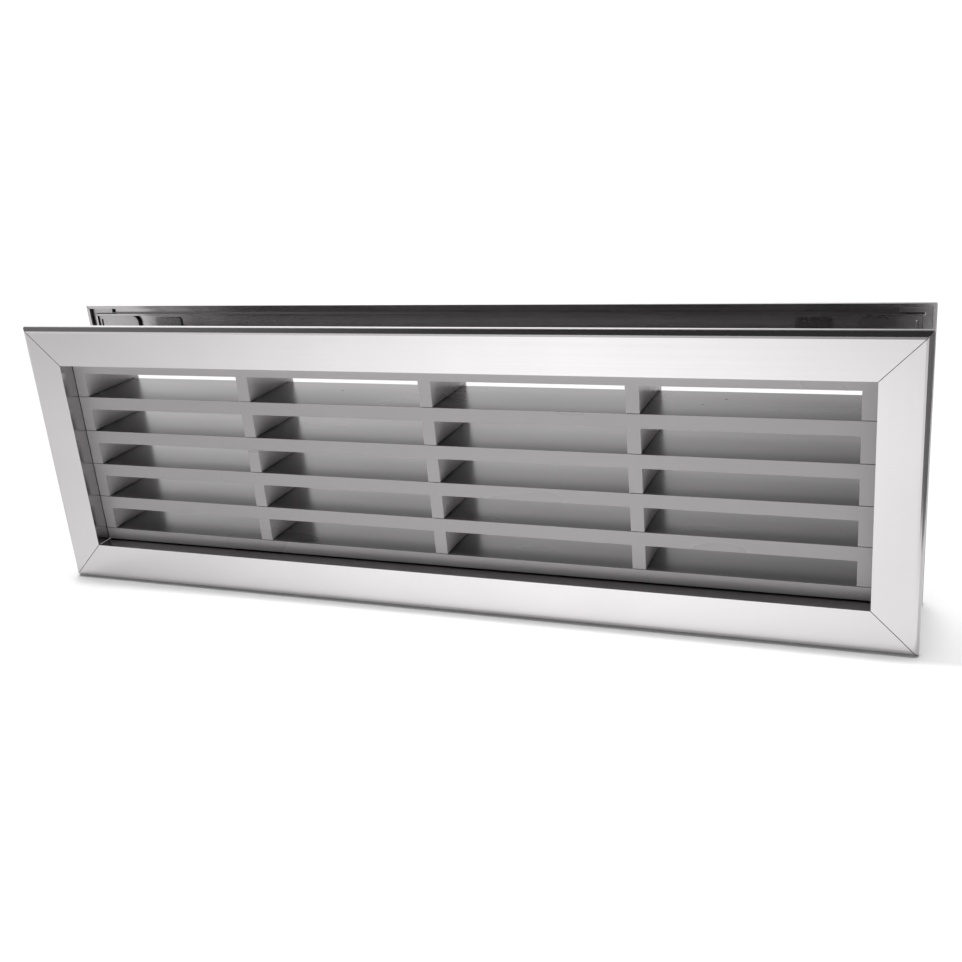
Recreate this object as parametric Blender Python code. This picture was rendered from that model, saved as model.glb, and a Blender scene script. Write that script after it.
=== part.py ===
"""Louvred transfer grille for a door leaf or a thin wall.

A front frame of four mitred aluminium sections carries a core of stacked slat
modules. An identical counter frame closes the cut-out from the other side: its
collar slides over the back of the core, so the pair clamps panels of different
thickness. The front faces -Y, the width runs along X, and the origin is the
centre of the whole grille with the counter frame at its middle setting.
Metres, +Z up.
"""
import math

import bmesh
import bpy
from mathutils import Vector

# Driving dimensions
WIDTH = 0.440               # over the flanges
HEIGHT = 0.140
DEPTH = 0.056               # front face to back face
FLANGE = 0.020              # flange width, outer edge to opening
GAP = 0.0003                # clearance between neighbouring pieces

# Frame section: U is the distance in from the outer edge, V the depth from the face
PLATE = 0.0016              # wall of the face, the rim and the collar
RIM_DEPTH = 0.0050
RIM_RADIUS = 0.0030
ARC_STEPS = 5
RIB_U = 0.0046              # outer side of the rib that parts the two key channels
RIB_WALL = 0.0010
RIB_DEPTH = 0.0044
COLLAR_DEPTH = 0.0240
MITRE_GAP = 0.00015         # each section's share of the gap at a mitre

# Core of slat modules
CORE_SET_BACK = 0.0088      # face of the frame to face of the core
LEG_DEPTH = 0.0415
BLADE_DEPTH = 0.0372
ROWS = 5
COLUMNS = 4
ROW_PITCH = 0.01855
BAR_HEIGHT = 0.0065
TOP_BAR_HEIGHT = 0.0058     # the top bar is thinner, to clear the collar
BOTTOM_BAR_HEIGHT = 0.0062
LEG_WIDTH = 0.0062
CORE_WIDTH = 0.3994
BLADE_NOSE = 0.0026         # rounding of a blade's rear edges
NOSE_STEPS = 4
TONGUE_WIDTH = 0.0024
TONGUE_START = 0.0270       # from the front of the leg
TONGUE_END = 0.0380
TONGUE_DROP = 0.0016        # below the leg, the gap included
SOCKET_DROP = 0.0017
RELIEF_START = 0.0030       # a shallow relief under each leg, ahead of the tongue
RELIEF_END = 0.0200
RELIEF_HEIGHT = 0.0002

# Corner keys: arms are measured from the frame's outer corner
KEY_THICKNESS = 0.0016
KEY_ARM = 0.0315
KEY_CORNER = 0.0036
SLIT_NEAR = 0.0072          # slit in the upright arm, distances in from the outer edge
SLIT_FAR = 0.0084
SLIT_TOP = 0.0076
THIN_KEY_ARM = 0.0152
THIN_KEY_THICKNESS = 0.0012
THIN_KEY_CORNER = 0.0004

# Side screws that hold the core in the front collar
SCREW_RADIUS = 0.0015
SCREW_HEAD_RADIUS = 0.0029
SCREW_HEAD_HEIGHT = 0.0016
SCREW_POINT = 0.5           # the tip's radius, as a share of the shank's
SCREW_SHOULDER = 0.8        # where the head starts to round off, as a share of its height
SCREW_EDGE = 0.4            # straight-sided share of the head's height
SCREW_CROWN = 0.45          # radius of the head's flat top, as a share of the head's
SCREW_REACH = 0.0040        # of the shank into the leg
SCREW_V = 0.0150            # depth from the front face
ROUND_SIDES = 20            # facets of screws, rivets and their holes
CROSS_WIDTH = 0.0008
CROSS_LENGTH = 0.0030
CROSS_DEPTH = 0.0009

# Spring clips that grip the core inside the counter frame's collar
CLIP_WIDTH = 0.0160
CLIP_SHEET = 0.0005
CLIP_FROM_END = 0.0505      # clip's middle from the end of the frame
CLIP_TOP_U = 0.0070         # free end of the leg that stands on the flange
CLIP_CORNER = 0.0015
CLIP_CORNER_STEPS = 3
SLOT_V = 0.0135             # where the slot in the collar starts
SLOT_WIDTH = 0.0170
CLIP_BEND = 0.0006          # from the slot's start: where the tongue leaves the collar,
CLIP_TOUCH = 0.0070         # where it meets the core,
CLIP_LEAVE = 0.0082         # where it turns away again,
CLIP_TIP = 0.0098           # and where it ends,
CLIP_LIFT = 0.0016          # this far clear of the core
RIVET_V = 0.0085
RIVET_RADIUS = 0.0012
RIVET_HEAD_RADIUS = 0.0022
RIVET_HEAD_HEIGHT = 0.0007
RIVET_CROWN = 0.6           # radius of the head's flat top, as a share of the head's

FRONT_Y = -DEPTH / 2
CORE_HEIGHT = ROWS * ROW_PITCH + BOTTOM_BAR_HEIGHT
COLLAR_U = FLANGE - PLATE   # outer side of the collar
RIGHT_ANGLE = math.pi / 2
SHARP_ANGLE = math.radians(35)
FLAT_ANGLE = 0.01           # faces closer than this are merged
SHARPEST_BEND = 0.5         # limits how far a bend's mitre reaches in the clip's outline
TINY = 1e-6                 # tolerance when places are compared


def clear_scene():
    for item in list(bpy.data.objects):
        bpy.data.objects.remove(item, do_unlink=True)


def material(name, colour, roughness, metallic):
    made = bpy.data.materials.new(name)
    made.use_nodes = True
    shader = made.node_tree.nodes["Principled BSDF"]
    shader.inputs["Base Color"].default_value = (*colour, 1.0)
    shader.inputs["Roughness"].default_value = roughness
    shader.inputs["Metallic"].default_value = metallic
    return made


def add_object(name, shape, finish, parent):
    """Turn a bmesh into a named object under its parent empty."""
    bmesh.ops.recalc_face_normals(shape, faces=shape.faces)
    mesh = bpy.data.meshes.new(name)
    shape.to_mesh(mesh)
    shape.free()
    made = bpy.data.objects.new(name, mesh)
    bpy.context.scene.collection.objects.link(made)
    made.data.materials.append(finish)
    made.parent = parent
    return made


def add_empty(name, location, turn=0.0):
    made = bpy.data.objects.new(name, None)
    bpy.context.scene.collection.objects.link(made)
    made.location = location
    made.rotation_euler = (0.0, 0.0, turn)
    return made


def smooth(item):
    item.data.shade_smooth()
    item.data.set_sharp_from_angle(angle=SHARP_ANGLE)


def cut(item, cutter):
    """Subtract a hidden cutter from an object."""
    cutter.hide_render = True
    cutter.display_type = "WIRE"
    step = item.modifiers.new("cut", "BOOLEAN")
    step.operation = "DIFFERENCE"
    step.solver = "EXACT"
    step.object = cutter


def prism(outline, near, far):
    """Bridge two copies of a closed outline; near and far place a point (a, b)."""
    shape = bmesh.new()
    first = [shape.verts.new(near(a, b)) for a, b in outline]
    last = [shape.verts.new(far(a, b)) for a, b in outline]
    count = len(outline)
    for i in range(count):
        j = (i + 1) % count
        shape.faces.new((first[i], first[j], last[j], last[i]))
    shape.faces.new(list(reversed(first)))
    shape.faces.new(last)
    return shape


def turned(profile, sides):
    """Solid of revolution about X from (x, radius) points that start and end on the axis."""
    shape = bmesh.new()
    poles = [shape.verts.new((profile[0][0], 0, 0)), shape.verts.new((profile[-1][0], 0, 0))]
    rings = []
    for x, radius in profile[1:-1]:
        angles = [2 * math.pi * k / sides for k in range(sides)]
        rings.append([shape.verts.new((x, radius * math.cos(t), radius * math.sin(t))) for t in angles])
    for k in range(sides):
        n = (k + 1) % sides
        shape.faces.new((poles[0], rings[0][k], rings[0][n]))
        for inner, outer in zip(rings, rings[1:]):
            shape.faces.new((inner[k], outer[k], outer[n], inner[n]))
        shape.faces.new((poles[1], rings[-1][n], rings[-1][k]))
    return shape


def box(size, centre):
    shape = bmesh.new()
    bmesh.ops.create_cube(shape, size=1.0)
    bmesh.ops.scale(shape, vec=size, verts=shape.verts)
    bmesh.ops.translate(shape, vec=centre, verts=shape.verts)
    return shape


def arc(centre, radius, start, end, steps):
    """Points of an arc from start to end, in degrees."""
    points = []
    for k in range(steps + 1):
        angle = math.radians(start + (end - start) * k / steps)
        points.append((centre[0] + radius * math.cos(angle), centre[1] + radius * math.sin(angle)))
    return points


# ---------------------------------------------------------------- frame sections

def section_outline():
    """Cross-section (u, v) of the frame extrusion, from the rim's back edge round."""
    outline = [(0.0, RIM_DEPTH)]
    outline += arc((RIM_RADIUS, RIM_RADIUS), RIM_RADIUS, 180, 270, ARC_STEPS)
    outline += [
        (FLANGE, 0.0),
        (FLANGE, COLLAR_DEPTH),
        (COLLAR_U, COLLAR_DEPTH),
        (COLLAR_U, PLATE),
        (RIB_U + RIB_WALL, PLATE),
        (RIB_U + RIB_WALL, RIB_DEPTH),
        (RIB_U, RIB_DEPTH),
        (RIB_U, PLATE),
        (PLATE, PLATE),
        (PLATE, RIM_DEPTH),
    ]
    return outline


def frame_section(name, length, finish, parent):
    """One mitred length: X along, Y into the depth, Z down from the outer edge."""
    reach = length / 2 - MITRE_GAP * math.sqrt(2)
    shape = prism(
        section_outline(),
        lambda u, v: (u - reach, v, -u),
        lambda u, v: (reach - u, v, -u),
    )
    made = add_object(name, shape, finish, parent)
    smooth(made)
    return made


def key_outline(near, far, arm, corner, slit):
    """Flat L (a, b) with arms along +a and +b; slit parts the outer edge of the b arm."""
    outline = [(near, near)]
    outline += arc((arm - corner, near + corner), corner, -90, 0, ARC_STEPS)
    outline += arc((arm - corner, far - corner), corner, 0, 90, ARC_STEPS)
    outline += [(far, far)]
    outline += arc((far - corner, arm - corner), corner, 0, 90, ARC_STEPS)
    if slit:
        outline += arc((SLIT_FAR + corner, arm - corner), corner, 90, 180, ARC_STEPS)
        outline += [(SLIT_FAR, SLIT_TOP), (SLIT_NEAR, SLIT_TOP), (SLIT_NEAR, arm), (near, arm)]
    else:
        outline += arc((near + corner, arm - corner), corner, 90, 180, ARC_STEPS)
    return outline


def key_plate(name, outline, thickness, turned_over, finish, parent):
    """One corner key on the floor of its channel; its arms run +X and -Z."""
    if turned_over:
        outline = [(b, a) for a, b in outline]
    floor = PLATE + GAP
    shape = prism(
        outline,
        lambda a, b: (a, floor, -b),
        lambda a, b: (a, floor + thickness, -b),
    )
    made = add_object(name, shape, finish, parent)
    smooth(made)
    return made


def build_frame(prefix, parent, metal, zinc):
    """Four sections, and two keys in each corner, in the parent's frame."""
    sections = {}
    sides = [("top", WIDTH, HEIGHT, 0), ("right", HEIGHT, WIDTH, 1),
             ("bottom", WIDTH, HEIGHT, 2), ("left", HEIGHT, WIDTH, 3)]
    for side, length, across, quarter in sides:
        made = frame_section(f"{prefix}_frame_{side}", length, metal, parent)
        turn = quarter * RIGHT_ANGLE
        made.rotation_euler = (0.0, turn, 0.0)
        made.location = (math.sin(turn) * across / 2, 0.0, math.cos(turn) * across / 2)
        sections[side] = made
    corners = [("top_left", -1, 1, 0), ("top_right", 1, 1, 1),
               ("bottom_right", 1, -1, 2), ("bottom_left", -1, -1, 3)]
    wide = key_outline(RIB_U + RIB_WALL + GAP, COLLAR_U - GAP, KEY_ARM, KEY_CORNER, True)
    narrow = key_outline(PLATE + GAP, RIB_U - GAP, THIN_KEY_ARM, THIN_KEY_CORNER, False)
    for corner, across, up, quarter in corners:
        for kind, outline, thickness in (("corner_key", wide, KEY_THICKNESS),
                                         ("edge_key", narrow, THIN_KEY_THICKNESS)):
            name = f"{prefix}_{kind}_{corner}"
            made = key_plate(name, outline, thickness, quarter % 2 == 1, zinc, parent)
            made.rotation_euler = (0.0, quarter * RIGHT_ANGLE, 0.0)
            made.location = (across * WIDTH / 2, 0.0, up * HEIGHT / 2)
    return sections


# ---------------------------------------------------------------- core

def leg_centres():
    pitch = (CORE_WIDTH - LEG_WIDTH) / COLUMNS
    return [(k - COLUMNS / 2) * pitch for k in range(COLUMNS + 1)]


def solid_from_cells(cuts, filled):
    """Closed solid from a grid of cells: cuts holds x, y and z planes, filled a test of a cell's centre."""
    xs, ys, zs = (sorted(set(round(c, 7) for c in axis)) for axis in cuts)
    shape = bmesh.new()
    corners = {}

    def corner(i, j, k):
        if (i, j, k) not in corners:
            corners[(i, j, k)] = shape.verts.new((xs[i], ys[j], zs[k]))
        return corners[(i, j, k)]

    def solid(i, j, k):
        if not (0 <= i < len(xs) - 1 and 0 <= j < len(ys) - 1 and 0 <= k < len(zs) - 1):
            return False
        middle = ((xs[i] + xs[i + 1]) / 2, (ys[j] + ys[j + 1]) / 2, (zs[k] + zs[k + 1]) / 2)
        return filled(*middle)

    for i in range(len(xs) - 1):
        for j in range(len(ys) - 1):
            for k in range(len(zs) - 1):
                if not solid(i, j, k):
                    continue
                for axis in range(3):
                    for side in (0, 1):
                        beside = [i, j, k]
                        beside[axis] += 1 if side else -1
                        if solid(*beside):
                            continue
                        low = [i, j, k]
                        low[axis] += side
                        ring = []
                        for a, b in ((0, 0), (1, 0), (1, 1), (0, 1)):
                            place = list(low)
                            place[(axis + 1) % 3] += a
                            place[(axis + 2) % 3] += b
                            ring.append(corner(*place))
                        shape.faces.new(ring if side else ring[::-1])
    shape.normal_update()
    bmesh.ops.dissolve_limit(shape, angle_limit=FLAT_ANGLE, verts=shape.verts, edges=shape.edges)
    return shape


def slat_module(name, bar_height, has_legs, has_sockets, finish, parent):
    """A bar with five legs under it. Origin: middle of the bar's top front edge."""
    legs = leg_centres()
    half_leg = LEG_WIDTH / 2
    half_tongue = TONGUE_WIDTH / 2
    half_socket = half_tongue + GAP
    socket_start = TONGUE_START - GAP
    socket_end = TONGUE_END + GAP
    leg_foot = GAP - ROW_PITCH
    tongue_foot = leg_foot - TONGUE_DROP

    def on_leg(x, half):
        return any(abs(x - centre) < half for centre in legs)

    def filled(x, y, z):
        if z > -bar_height:
            in_socket = z > -SOCKET_DROP and socket_start < y < socket_end and on_leg(x, half_socket)
            if has_sockets and in_socket:
                return False
            return y < BLADE_DEPTH or on_leg(x, half_leg)
        if not has_legs:
            return False
        if z > leg_foot:
            in_relief = z < leg_foot + RELIEF_HEIGHT and RELIEF_START < y < RELIEF_END
            return on_leg(x, half_leg) and not in_relief
        return TONGUE_START < y < TONGUE_END and on_leg(x, half_tongue)

    xs = [centre + side * half for centre in legs
          for half in (half_leg, half_tongue, half_socket) for side in (-1, 1)]
    ys = [0.0, BLADE_DEPTH, LEG_DEPTH, TONGUE_START, TONGUE_END, socket_start, socket_end]
    zs = [0.0, -bar_height, -SOCKET_DROP]
    if has_legs:
        ys += [RELIEF_START, RELIEF_END]
        zs += [leg_foot, leg_foot + RELIEF_HEIGHT, tongue_foot]
    shape = solid_from_cells((xs, ys, zs), filled)

    def is_nose(edge):
        a, b = (v.co for v in edge.verts)
        level = abs(a.z - b.z) < TINY and abs(a.y - b.y) < TINY
        at_back = abs(a.y - BLADE_DEPTH) < TINY
        at_face = abs(a.z) < TINY or abs(a.z + bar_height) < TINY
        return level and at_back and at_face and abs(a.x - b.x) > 4 * LEG_WIDTH

    noses = [edge for edge in shape.edges if is_nose(edge)]
    bmesh.ops.bevel(shape, geom=noses, offset=BLADE_NOSE, segments=NOSE_STEPS, profile=0.5,
                    affect="EDGES")
    made = add_object(name, shape, finish, parent)
    smooth(made)
    return made


def screw_places():
    """Side screws as (side, module index, z)."""
    top = CORE_HEIGHT / 2
    first = top - (BAR_HEIGHT + ROW_PITCH) / 2
    return [(side, module, z) for module, z in ((1, first), (ROWS, first - (ROWS - 1) * ROW_PITCH))
            for side in (-1, 1)]


def build_core(parent, plastic):
    modules = {}
    for index in range(1, ROWS + 2):
        last = index == ROWS + 1
        name = "core_bottom_bar" if last else f"slat_module_{index}"
        height = BOTTOM_BAR_HEIGHT if last else TOP_BAR_HEIGHT if index == 1 else BAR_HEIGHT
        made = slat_module(name, height, not last, index > 1, plastic, parent)
        made.location = (0.0, CORE_SET_BACK, CORE_HEIGHT / 2 - (index - 1) * ROW_PITCH)
        modules[index] = made
    return modules


def build_screws(parent, sections, modules, steel):
    """Pan-head screws through the front collar's sides into the outer legs."""
    collar_x = WIDTH / 2 - COLLAR_U
    under_head = collar_x + GAP
    tip = CORE_WIDTH / 2 - SCREW_REACH
    for number, (side, module, z) in enumerate(screw_places(), start=1):
        head = SCREW_HEAD_HEIGHT
        profile = [(tip, 0.0), (tip, SCREW_RADIUS * SCREW_POINT), (tip + SCREW_RADIUS, SCREW_RADIUS),
                   (under_head, SCREW_RADIUS), (under_head, SCREW_HEAD_RADIUS),
                   (under_head + head * SCREW_EDGE, SCREW_HEAD_RADIUS),
                   (under_head + head * SCREW_SHOULDER, SCREW_HEAD_RADIUS * SCREW_SHOULDER),
                   (under_head + head, SCREW_HEAD_RADIUS * SCREW_CROWN), (under_head + head, 0.0)]
        screw = add_object(f"core_screw_{number}", turned(profile, ROUND_SIDES), steel, parent)
        smooth(screw)
        screw.location = (0.0, SCREW_V, z)
        screw.rotation_euler = (0.0, 0.0, 0.0 if side > 0 else math.pi)
        for turn, letter in ((0.0, "a"), (RIGHT_ANGLE, "b")):
            middle = (under_head + head - CROSS_DEPTH + head / 2, 0.0, 0.0)
            slot = add_object(f"cut_cross_{number}{letter}",
                              box((head, CROSS_LENGTH, CROSS_WIDTH), middle), steel, screw)
            slot.rotation_euler = (turn, 0.0, 0.0)
            cut(screw, slot)
        reach = collar_x + GAP - (tip - GAP)
        bore_profile = [(0.0, 0.0), (0.0, SCREW_RADIUS + GAP), (reach, SCREW_RADIUS + GAP), (reach, 0.0)]
        bore = add_object(f"cut_bore_{number}", turned(bore_profile, ROUND_SIDES), steel, parent)
        bore.location = (side * (tip - GAP), SCREW_V, z)
        bore.rotation_euler = (0.0, 0.0, 0.0 if side > 0 else math.pi)
        cut(sections["right" if side > 0 else "left"], bore)
        cut(modules[module], bore)


# ---------------------------------------------------------------- spring clips

def clip_outline():
    """Cross-section (v, u) of the bent spring strip, a constant thickness along a path."""
    rest = COLLAR_U - GAP - CLIP_SHEET / 2
    touch = HEIGHT / 2 - CORE_HEIGHT / 2 - GAP - CLIP_SHEET / 2
    upright = PLATE + GAP + CLIP_SHEET / 2
    path = [(upright, CLIP_TOP_U), (upright, rest), (SLOT_V + CLIP_BEND, rest),
            (SLOT_V + CLIP_TOUCH, touch), (SLOT_V + CLIP_LEAVE, touch),
            (SLOT_V + CLIP_TIP, touch - CLIP_LIFT)]
    near, far = [], []
    for i, point in enumerate(path):
        before = Vector(path[max(i - 1, 0)])
        after = Vector(path[min(i + 1, len(path) - 1)])
        along_in = (Vector(point) - before).normalized() if i else None
        along_out = (after - Vector(point)).normalized() if i < len(path) - 1 else None
        along = ((along_in or along_out) + (along_out or along_in)).normalized()
        across = Vector((-along.y, along.x))
        spread = CLIP_SHEET / 2 / max(along.dot(along_out or along_in), SHARPEST_BEND)
        near.append(tuple(Vector(point) + across * spread))
        far.append(tuple(Vector(point) - across * spread))
    return near + far[::-1]


def build_clips(parent, sections, steel):
    """A clip and its rivet near each end of the counter frame's top and bottom."""
    number = 0
    for section in ("top", "bottom"):
        for side in (-1, 1):
            number += 1
            x = side * (WIDTH / 2 - CLIP_FROM_END)
            owner = sections[section]
            clip_shape = prism(
                clip_outline(),
                lambda v, u: (-CLIP_WIDTH / 2, v, -u),
                lambda v, u: (CLIP_WIDTH / 2, v, -u),
            )
            corners = [edge for edge in clip_shape.edges
                       if all(abs(v.co.z + CLIP_TOP_U) < TINY for v in edge.verts)
                       and abs(edge.verts[0].co.x - edge.verts[1].co.x) < TINY]
            bmesh.ops.bevel(clip_shape, geom=corners, offset=CLIP_CORNER, segments=CLIP_CORNER_STEPS,
                            profile=0.5, affect="EDGES")
            clip = add_object(f"spring_clip_{number}", clip_shape, steel, parent)
            smooth(clip)
            place = owner.rotation_euler.to_matrix() @ Vector((x, 0.0, 0.0)) + owner.location
            clip.location = place
            clip.rotation_euler = owner.rotation_euler
            slot_length = COLLAR_DEPTH - SLOT_V + PLATE
            slot = add_object(
                f"cut_slot_{number}",
                box((SLOT_WIDTH, slot_length, 3 * PLATE),
                    (0.0, SLOT_V + slot_length / 2, -(COLLAR_U + PLATE / 2))),
                steel, parent)
            slot.location = place
            slot.rotation_euler = owner.rotation_euler
            cut(owner, slot)
            seat = COLLAR_U - 2 * GAP - CLIP_SHEET
            profile = [(-seat + RIVET_HEAD_HEIGHT, 0.0),
                       (-seat + RIVET_HEAD_HEIGHT, RIVET_HEAD_RADIUS * RIVET_CROWN),
                       (-seat, RIVET_HEAD_RADIUS), (-seat, RIVET_RADIUS),
                       (-FLANGE, RIVET_RADIUS), (-FLANGE, 0.0)]
            rivet = add_object(f"clip_rivet_{number}", turned(profile[::-1], ROUND_SIDES), steel, parent)
            smooth(rivet)
            hole_profile = [(-FLANGE - PLATE, 0.0), (-FLANGE - PLATE, RIVET_RADIUS + GAP),
                            (-COLLAR_U + 2 * PLATE, RIVET_RADIUS + GAP), (-COLLAR_U + 2 * PLATE, 0.0)]
            hole = add_object(f"cut_rivet_{number}", turned(hole_profile, ROUND_SIDES), steel, parent)
            up = -RIGHT_ANGLE if section == "top" else RIGHT_ANGLE
            for item in (rivet, hole):
                item.rotation_euler = (0.0, up, 0.0)
                item.location = (place.x, RIVET_V, place.z)
            cut(owner, hole)
            cut(clip, hole)


def main():
    clear_scene()
    metal = material("anodised_aluminium", (0.62, 0.61, 0.63), 0.38, 1.0)
    zinc = material("zinc_plated_key", (0.55, 0.55, 0.56), 0.35, 1.0)
    plastic = material("grey_slat_plastic", (0.36, 0.35, 0.37), 0.42, 0.0)
    steel = material("spring_and_screw_steel", (0.50, 0.50, 0.52), 0.30, 1.0)

    front = add_empty("front_frame", (0.0, FRONT_Y, 0.0))
    front_sections = build_frame("front", front, metal, zinc)
    modules = build_core(front, plastic)
    build_screws(front, front_sections, modules, steel)

    rear = add_empty("rear_frame", (0.0, -FRONT_Y, 0.0), math.pi)
    rear_sections = build_frame("rear", rear, metal, zinc)
    build_clips(rear, rear_sections, steel)


main()
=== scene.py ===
"""Looks of the louvred transfer grille: materials, fine edges, floor, light and camera."""
import math

import bmesh
import bpy
from mathutils import Matrix, Vector


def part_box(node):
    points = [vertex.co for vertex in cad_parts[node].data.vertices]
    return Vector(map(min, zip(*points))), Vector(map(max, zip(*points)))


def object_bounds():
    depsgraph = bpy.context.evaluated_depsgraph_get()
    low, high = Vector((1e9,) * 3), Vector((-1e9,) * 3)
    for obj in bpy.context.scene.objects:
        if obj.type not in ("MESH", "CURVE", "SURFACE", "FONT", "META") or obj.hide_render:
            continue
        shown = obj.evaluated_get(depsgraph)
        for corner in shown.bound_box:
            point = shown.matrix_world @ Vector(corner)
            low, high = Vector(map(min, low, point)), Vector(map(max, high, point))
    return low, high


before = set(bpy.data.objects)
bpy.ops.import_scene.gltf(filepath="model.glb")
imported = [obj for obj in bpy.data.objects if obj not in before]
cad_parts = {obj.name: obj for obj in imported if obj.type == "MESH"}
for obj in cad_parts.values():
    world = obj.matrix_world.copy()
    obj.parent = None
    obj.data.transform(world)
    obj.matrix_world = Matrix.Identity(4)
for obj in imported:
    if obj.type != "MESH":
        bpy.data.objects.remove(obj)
cad_low, cad_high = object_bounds()

# Camera: in front, to the right and above, tilted a little about its own axis
CAMERA_PLACE = Vector((0.2232, -0.4817, 0.1792))
CAMERA_AIM = Vector((0.0322, -0.0019, -0.0101))
CAMERA_ROLL = math.radians(-4.72)
CAMERA_LENS = 42.94
CAMERA_SHIFT = -0.0312
SENSOR = 36.0
CLIP_START = 0.01
CLIP_END = 50.0

# Greys: a faint warm cast, as shares of red, green and blue
CAST = (1.030, 1.0, 1.012)

# Aluminium: brushed grain, and broad clouds in its tone
GRAIN_ACROSS = 1100.0       # noise scales, per metre
GRAIN_ALONG = 5.0
CLOUD_SCALE = 11.0
METAL_DARK = 0.465
METAL_LIGHT = 0.495
METAL_SATIN = (0.18, 0.24)  # lowest and highest roughness
METAL_PATCH = 0.02
GRAIN_BUMP = 0.05
GRAIN_HEIGHT = 0.0001

# Slats: lacquer tone, its mottle, and painted shade and light that differ by the way each face looks
SMEAR_SCALE = (14.0, 45.0, 45.0)
SLAT_TONE = 0.305
SLAT_MOTTLE = 0.020
SLAT_SATIN = (0.24, 0.35)
SLAT_METALLIC = 0.10
SLAT_TINT = (1.0, 0.94, 0.97)
# Painted shade and light on the slats: faces that look down are painted darker, faces that look sideways are
# painted paler, and upward faces are painted darker towards the front
UNDERSIDE_SHADE = 0.30            # tone of a face that looks down, against one that looks forward
SIDE_LIGHT = 1.55            # and of one that looks sideways
FRONT_SHADE = 0.45           # tone at the front of an upward face, against its back
FRONT_SHADE_REACH = 0.030
FACING_LOW = 0.2            # a face counts as turned one way between these parts of its normal
FACING_HIGH = 0.8
BRIGHTEST = 0.5             # end of the grey scale that the slats are coloured from

# Specks on top of the first blade
SPECK_TONE = 0.05
SPECK_RADIUS = 0.0010
SPECK_PLACES = ((0.1254, -0.0022), (0.1344, 0.0062), (-0.0566, 0.0047))
SPECK_REACH = 0.002         # no speck is further than this from the blade's top, in height

# Plated parts: tone, lowest and highest roughness, and mottle scale
ZINC = (0.42, 0.26, 0.38, 60.0)
BRIGHT = (0.62, 0.18, 0.28, 90.0)
SPRING = (0.30, 0.22, 0.32, 70.0)
PLATE_DARK = 0.88
PLATE_LIGHT = 1.06
PLATE_BUMP = 0.08
PLATE_HEIGHT = 0.0002

# Middle part of a noise pattern, stretched to the full range
NOISE_LOW = 0.3
NOISE_HIGH = 0.7

# Fine rounded edges
FRAME_EDGE = 0.00008
KEY_EDGE = 0.00015
SLAT_EDGE = 0.00010
EDGE_ANGLE = math.radians(50)
SHARP_ANGLE = math.radians(38)

# A dark card on the right, as a studio has, that darkens the right-hand edges
CARD_AWAY = 0.12
CARD_FRONT = -0.30
CARD_BACK = 0.45
CARD_TOP = 0.25
CARD_TONE = 0.20

# Floor: painted shade where it grows darker in mirrors, and a painted glow, a pool of light that fans out in
# front of the grille
FLOOR_RADIUS = 6.0
FLOOR_SIDES = 96
FLOOR_BELOW = 0.0003
FLOOR_PALE = 0.90
FLOOR_DIM = 0.68
MATT = 0.9
FADE_NEAR = -0.25
FADE_FAR = -0.90
GLOW_EVEN = 0.07
GLOW_STRENGTH = 1.0
GLOW_START = 0.012
GLOW_MIDDLE = 0.07
GLOW_SLANT = -0.34
GLOW_WIDTH = 0.21
GLOW_OPENING = 0.22
GLOW_EDGE = 2.0             # the glow ends at this many half-widths

# Surroundings: each line is a direction's start and end, and the values there
HORIZON = (-0.35, 0.35, 0.02, 0.40)     # height of the bright band, front to back
BAND_SOFTNESS = 0.14
BAND_LIGHT = (-0.30, 0.10, 1.65, 0.42)  # brightness of the band, left to right
OVERHEAD = (-0.70, -0.35, 0.28, 0.05)   # brightness above it, left to right
BACKDROP = 1.05                         # what the camera sees

# Lamps: place, power and angle
TOP_LIGHT = ((0.0, 0.0, 2.0), 2.3, math.radians(30))
REAR_LIGHT = ((-0.7, 2.0, 1.5), 1.0, math.radians(50))


# ---------------------------------------------------------------- node helpers

class Graph:
    """A small wrapper round a node tree, with the few nodes used here."""

    def __init__(self, tree):
        self.tree = tree

    def node(self, kind, **settings):
        made = self.tree.nodes.new(kind)
        for key, value in settings.items():
            setattr(made, key, value)
        return made

    def link(self, source, target):
        self.tree.links.new(source, target)

    def feed(self, target, value):
        """Link a socket, or set a plain value."""
        if isinstance(value, bpy.types.NodeSocket):
            self.link(value, target)
        else:
            target.default_value = value

    def parts(self, output):
        """X, Y and Z of one output of the texture coordinates."""
        made = self.node("ShaderNodeSeparateXYZ")
        self.link(self.node("ShaderNodeTexCoord").outputs[output], made.inputs["Vector"])
        return [made.outputs[axis] for axis in "XYZ"]

    def coordinates(self, scale):
        texture = self.node("ShaderNodeTexCoord")
        mapping = self.node("ShaderNodeMapping")
        mapping.inputs["Scale"].default_value = scale
        self.link(texture.outputs["Object"], mapping.inputs["Vector"])
        return mapping.outputs["Vector"]

    def noise(self, vector, detail, roughness):
        made = self.node("ShaderNodeTexNoise")
        made.inputs["Scale"].default_value = 1.0
        made.inputs["Detail"].default_value = detail
        made.inputs["Roughness"].default_value = roughness
        self.link(vector, made.inputs["Vector"])
        return made.outputs["Fac"]

    def ramp(self, value, low, high, to_low, to_high, smooth=False):
        made = self.node("ShaderNodeMapRange")
        made.interpolation_type = "SMOOTHSTEP" if smooth else "LINEAR"
        for name, amount in (("Value", value), ("From Min", low), ("From Max", high),
                             ("To Min", to_low), ("To Max", to_high)):
            self.feed(made.inputs[name], amount)
        return made.outputs["Result"]

    def colour_ramp(self, value, low, high):
        """Colour between two (place, colour) stops."""
        made = self.node("ShaderNodeValToRGB")
        for element, (place, colour) in zip(made.color_ramp.elements, (low, high)):
            element.position = place
            element.color = (*colour, 1.0)
        self.link(value, made.inputs["Fac"])
        return made.outputs["Color"]

    def math(self, operation, first, second=0.0):
        made = self.node("ShaderNodeMath", operation=operation)
        self.feed(made.inputs[0], first)
        self.feed(made.inputs[1], second)
        return made.outputs["Value"]

    def camera_ray(self):
        return self.node("ShaderNodeLightPath").outputs["Is Camera Ray"]


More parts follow.
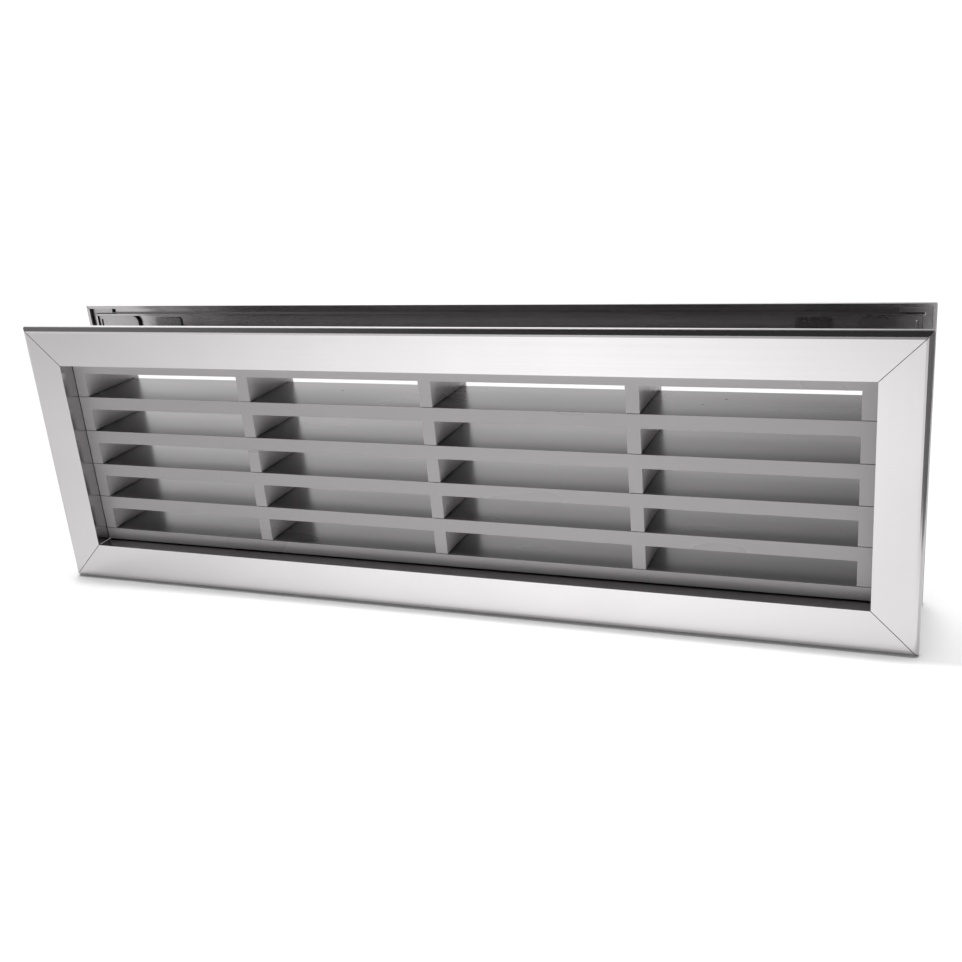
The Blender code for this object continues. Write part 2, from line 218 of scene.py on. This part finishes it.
class Finish(Graph):
    """A material with one Principled shader."""

    def __init__(self, name):
        self.material = bpy.data.materials.new(name)
        self.material.use_nodes = True
        super().__init__(self.material.node_tree)
        self.shader = self.tree.nodes["Principled BSDF"]

    def set(self, name, value):
        self.feed(self.shader.inputs[name], value)

    def bump(self, height, strength, distance):
        made = self.node("ShaderNodeBump")
        made.inputs["Strength"].default_value = strength
        made.inputs["Distance"].default_value = distance
        self.link(height, made.inputs["Height"])
        self.set("Normal", made.outputs["Normal"])


def grey(value):
    return tuple(value * share for share in CAST)


# ---------------------------------------------------------------- materials

def anodised(name, along):
    """Satin anodised aluminium, brushed along one axis of the section."""
    finish = Finish(name)
    stretch = [GRAIN_ACROSS] * 3
    stretch["XYZ".index(along)] = GRAIN_ALONG
    grain = finish.noise(finish.coordinates(stretch), 3.0, 0.6)
    broad = finish.noise(finish.coordinates([CLOUD_SCALE] * 3), 3.0, 0.55)
    cloud = finish.colour_ramp(broad, (0.35, grey(METAL_DARK)), (0.65, grey(METAL_LIGHT)))
    finish.set("Base Color", cloud)
    satin = finish.ramp(grain, NOISE_LOW, NOISE_HIGH, *METAL_SATIN)
    patch = finish.ramp(broad, NOISE_LOW, NOISE_HIGH, -METAL_PATCH, METAL_PATCH)
    finish.set("Roughness", finish.math("ADD", satin, patch))
    finish.bump(grain, GRAIN_BUMP, GRAIN_HEIGHT)
    finish.set("Metallic", 1.0)
    return finish.material


def specks(finish, x, y, z):
    """Darkening factor of the small round specks on top of the first blade."""
    factor = 1.0
    for speck_x, speck_y in SPECK_PLACES:
        across = finish.math("POWER", finish.math("SUBTRACT", x, speck_x), 2.0)
        along = finish.math("POWER", finish.math("SUBTRACT", y, speck_y), 2.0)
        distance = finish.math("SQRT", finish.math("ADD", across, along))
        spot = finish.ramp(distance, SPECK_RADIUS / 2, SPECK_RADIUS, SPECK_TONE, 1.0, smooth=True)
        factor = finish.math("MULTIPLY", spot, factor)
    blade_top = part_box("slat_module_2")[1][2]
    away = finish.math("ABSOLUTE", finish.math("SUBTRACT", z, blade_top))
    on_first = finish.ramp(away, SPECK_REACH / 2, SPECK_REACH, 1.0, 0.0)
    return finish.ramp(on_first, 0.0, 1.0, 1.0, factor)


def painted_face_shade(finish):
    """Painted shade and light on a slat's face by the way it looks: painted shade on faces that look down,
    painted light on the sides, and on top painted shade towards the front, together with the real specks.
    """
    side, _, up = finish.parts("Normal")
    x, y, z = finish.parts("Object")
    not_down = finish.ramp(up, -FACING_HIGH, -FACING_LOW, 0.0, 1.0)
    below = finish.ramp(not_down, 0.0, 1.0, UNDERSIDE_SHADE, 1.0)
    sideways = finish.ramp(finish.math("ABSOLUTE", side), FACING_LOW, FACING_HIGH, 1.0, SIDE_LIGHT)
    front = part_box("slat_module_1")[0][1]
    # painted shade, darker towards the front of upward faces
    painted_front = finish.ramp(y, front, front + FRONT_SHADE_REACH, FRONT_SHADE, 1.0)
    upward = finish.ramp(up, FACING_LOW, FACING_HIGH, 0.0, 1.0)
    on_top = finish.math("MULTIPLY", specks(finish, x, y, z), painted_front)
    top = finish.ramp(upward, 0.0, 1.0, 1.0, on_top)
    return finish.math("MULTIPLY", top, finish.math("MULTIPLY", below, sideways))


def slat_lacquer():
    """Smooth moulded slats in a silver-grey lacquer, with soft smears, a few specks, and painted shade and
    light by the way each face looks.
    """
    finish = Finish("grey_slat_plastic")
    smear = finish.noise(finish.coordinates(SMEAR_SCALE), 1.0, 0.4)
    tone = finish.ramp(smear, 0.0, 1.0, SLAT_TONE - SLAT_MOTTLE, SLAT_TONE + SLAT_MOTTLE)
    # painted shade and light by the way each face looks
    tone = finish.math("MULTIPLY", tone, painted_face_shade(finish))
    base = finish.colour_ramp(tone, (0.0, grey(0.0)), (BRIGHTEST, grey(BRIGHTEST)))
    finish.set("Base Color", base)
    finish.set("Roughness", finish.ramp(smear, 0.0, 1.0, *SLAT_SATIN))
    finish.set("Specular Tint", (*SLAT_TINT, 1.0))
    finish.set("Metallic", SLAT_METALLIC)
    return finish.material


def plated(name, value, rough_low, rough_high, scale):
    finish = Finish(name)
    mottle = finish.noise(finish.coordinates([scale] * 3), 4.0, 0.6)
    dark, light = grey(value * PLATE_DARK), grey(value * PLATE_LIGHT)
    finish.set("Base Color", finish.colour_ramp(mottle, (NOISE_LOW, dark), (NOISE_HIGH, light)))
    finish.set("Roughness", finish.ramp(mottle, NOISE_LOW, NOISE_HIGH, rough_low, rough_high))
    finish.bump(mottle, PLATE_BUMP, PLATE_HEIGHT)
    finish.set("Metallic", 1.0)
    return finish.material


def dress(node, finish, edge=0.0):
    """Give a CAD node its material and a fine rounded edge."""
    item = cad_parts[node]
    item.data.materials.clear()
    item.data.materials.append(finish)
    if edge:
        bevel = item.modifiers.new("fine_edge", "BEVEL")
        bevel.width = edge
        bevel.segments = 1
        bevel.limit_method = "ANGLE"
        bevel.angle_limit = EDGE_ANGLE
        bevel.harden_normals = True
    item.data.shade_smooth()
    item.data.set_sharp_from_angle(angle=SHARP_ANGLE)


def dress_nodes():
    along_x = anodised("anodised_aluminium_x", "X")
    along_z = anodised("anodised_aluminium_z", "Z")
    lacquer = slat_lacquer()
    zinc = plated("zinc_plated_key", *ZINC)
    bright = plated("bright_fastener", *BRIGHT)
    spring = plated("spring_steel_strip", *SPRING)
    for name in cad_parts:
        if "_frame_" in name:
            side = name.rsplit("_", 1)[1]
            dress(name, along_x if side in ("top", "bottom") else along_z, FRAME_EDGE)
        elif "_key_" in name:
            dress(name, zinc, KEY_EDGE)
        elif name.startswith(("slat_module", "core_bottom")):
            dress(name, lacquer, SLAT_EDGE)
        elif name.startswith("spring_clip"):
            dress(name, spring)
        else:
            dress(name, bright)


# ---------------------------------------------------------------- stage, light and camera

def floor_painted_light(finish):
    """A pale floor with painted shade far in front where only mirrors see it, and a painted pool of light
    that glows by the grille.

    The glow is a fan that opens forward and to the left.
    """
    x, y, _ = finish.parts("Object")
    # painted shade: the floor dims far in front, for mirrors and light only
    painted_dimming = finish.ramp(y, FADE_NEAR, FADE_FAR, 0.0, 1.0, smooth=True)
    painted_dimming = finish.math("MULTIPLY", painted_dimming, finish.math("SUBTRACT", 1.0, finish.camera_ray()))
    finish.set("Base Color", finish.colour_ramp(painted_dimming, (0.0, (FLOOR_PALE,) * 3), (1.0, (FLOOR_DIM,) * 3)))
    # painted light: a glowing pool on the floor in front of the grille, though it is no lamp
    ahead = finish.math("MAXIMUM", finish.math("SUBTRACT", cad_low.y, y), 0.0)
    middle = finish.math("ADD", finish.math("MULTIPLY", ahead, GLOW_SLANT), GLOW_MIDDLE)
    reach = finish.math("ADD", finish.math("MULTIPLY", ahead, GLOW_OPENING), GLOW_WIDTH)
    aside = finish.math("ABSOLUTE", finish.math("SUBTRACT", x, middle))
    widths = finish.math("DIVIDE", aside, reach)
    across = finish.ramp(widths, 0.0, GLOW_EDGE, GLOW_STRENGTH, 0.0, smooth=True)
    start = cad_low.y - GLOW_START
    glow = finish.math("MULTIPLY", across, finish.ramp(y, start, cad_low.y, 1.0, 0.0, smooth=True))
    finish.set("Emission Color", (1.0, 1.0, 1.0, 1.0))
    finish.set("Emission Strength", finish.math("ADD", glow, GLOW_EVEN))


def stage_piece(name, shape, finish):
    """Turn a bmesh into a named object that belongs to the stage."""
    mesh = bpy.data.meshes.new(name)
    shape.to_mesh(mesh)
    shape.free()
    item = bpy.data.objects.new(name, mesh)
    bpy.context.scene.collection.objects.link(item)
    item.data.materials.append(finish.material)
    return item


def floor():
    """A large pale floor just under the grille."""
    shape = bmesh.new()
    bmesh.ops.create_circle(shape, cap_ends=True, segments=FLOOR_SIDES, radius=FLOOR_RADIUS)
    finish = Finish("pale_floor")
    finish.set("Roughness", MATT)
    finish.set("Specular IOR Level", 0.0)
    # painted shade in mirrors and a painted pool of light
    floor_painted_light(finish)
    item = stage_piece("floor", shape, finish)
    item.location = (0.0, 0.0, cad_low.z - FLOOR_BELOW)


def dark_card():
    """A dark card close by on the right, which only mirrors see."""
    x = cad_high.x + CARD_AWAY
    shape = bmesh.new()
    corners = [(CARD_FRONT, cad_low.z), (CARD_BACK, cad_low.z), (CARD_BACK, CARD_TOP), (CARD_FRONT, CARD_TOP)]
    shape.faces.new([shape.verts.new((x, y, z)) for y, z in corners])
    finish = Finish("dark_card")
    finish.set("Base Color", (CARD_TONE, CARD_TONE, CARD_TONE, 1.0))
    finish.set("Roughness", MATT)
    item = stage_piece("dark_card", shape, finish)
    item.visible_camera = False
    item.visible_diffuse = False
    item.visible_shadow = False


def lamp(name, place, power, angle):
    """A sun aimed at the grille that lights matt surfaces only, so it leaves no spot in the metal."""
    light = bpy.data.lights.new(name, "SUN")
    light.energy = power
    light.angle = angle
    item = bpy.data.objects.new(name, light)
    bpy.context.scene.collection.objects.link(item)
    item.location = place
    item.rotation_euler = (-Vector(place)).to_track_quat("-Z", "Y").to_euler()
    item.visible_camera = False
    item.visible_glossy = False


def surroundings():
    """White low down, dark overhead; brighter behind and to the left than on the right."""
    world = bpy.data.worlds.new("studio")
    bpy.context.scene.world = world
    world.use_nodes = True
    graph = Graph(world.node_tree)
    backdrop = world.node_tree.nodes["Background"]
    x, y, z = graph.parts("Generated")
    edge = graph.ramp(y, *HORIZON, smooth=True)
    top = graph.math("ADD", edge, BAND_SOFTNESS)
    side = graph.ramp(x, *BAND_LIGHT, smooth=True)
    overhead = graph.ramp(x, *OVERHEAD, smooth=True)
    mirrored = graph.ramp(z, edge, top, side, overhead, smooth=True)
    seen = graph.ramp(graph.camera_ray(), 0.0, 1.0, mirrored, BACKDROP)
    backdrop.inputs["Color"].default_value = (1.0, 1.0, 1.0, 1.0)
    graph.feed(backdrop.inputs["Strength"], seen)


def camera():
    lens = bpy.data.cameras.new("camera")
    lens.sensor_width = SENSOR
    lens.lens = CAMERA_LENS
    lens.shift_x = CAMERA_SHIFT
    lens.clip_start = CLIP_START
    lens.clip_end = CLIP_END
    item = bpy.data.objects.new("camera", lens)
    bpy.context.scene.collection.objects.link(item)
    look = (CAMERA_AIM - CAMERA_PLACE).to_track_quat("-Z", "Y").to_matrix().to_4x4()
    item.matrix_world = Matrix.Translation(CAMERA_PLACE) @ look @ Matrix.Rotation(CAMERA_ROLL, 4, "Z")
    bpy.context.scene.camera = item


def colour_view():
    view = bpy.context.scene.view_settings
    view.view_transform = "Standard"
    view.look = "None"


camera()
colour_view()
floor()
dark_card()
surroundings()
lamp("overhead_light", *TOP_LIGHT)
lamp("rear_light", *REAR_LIGHT)
dress_nodes()
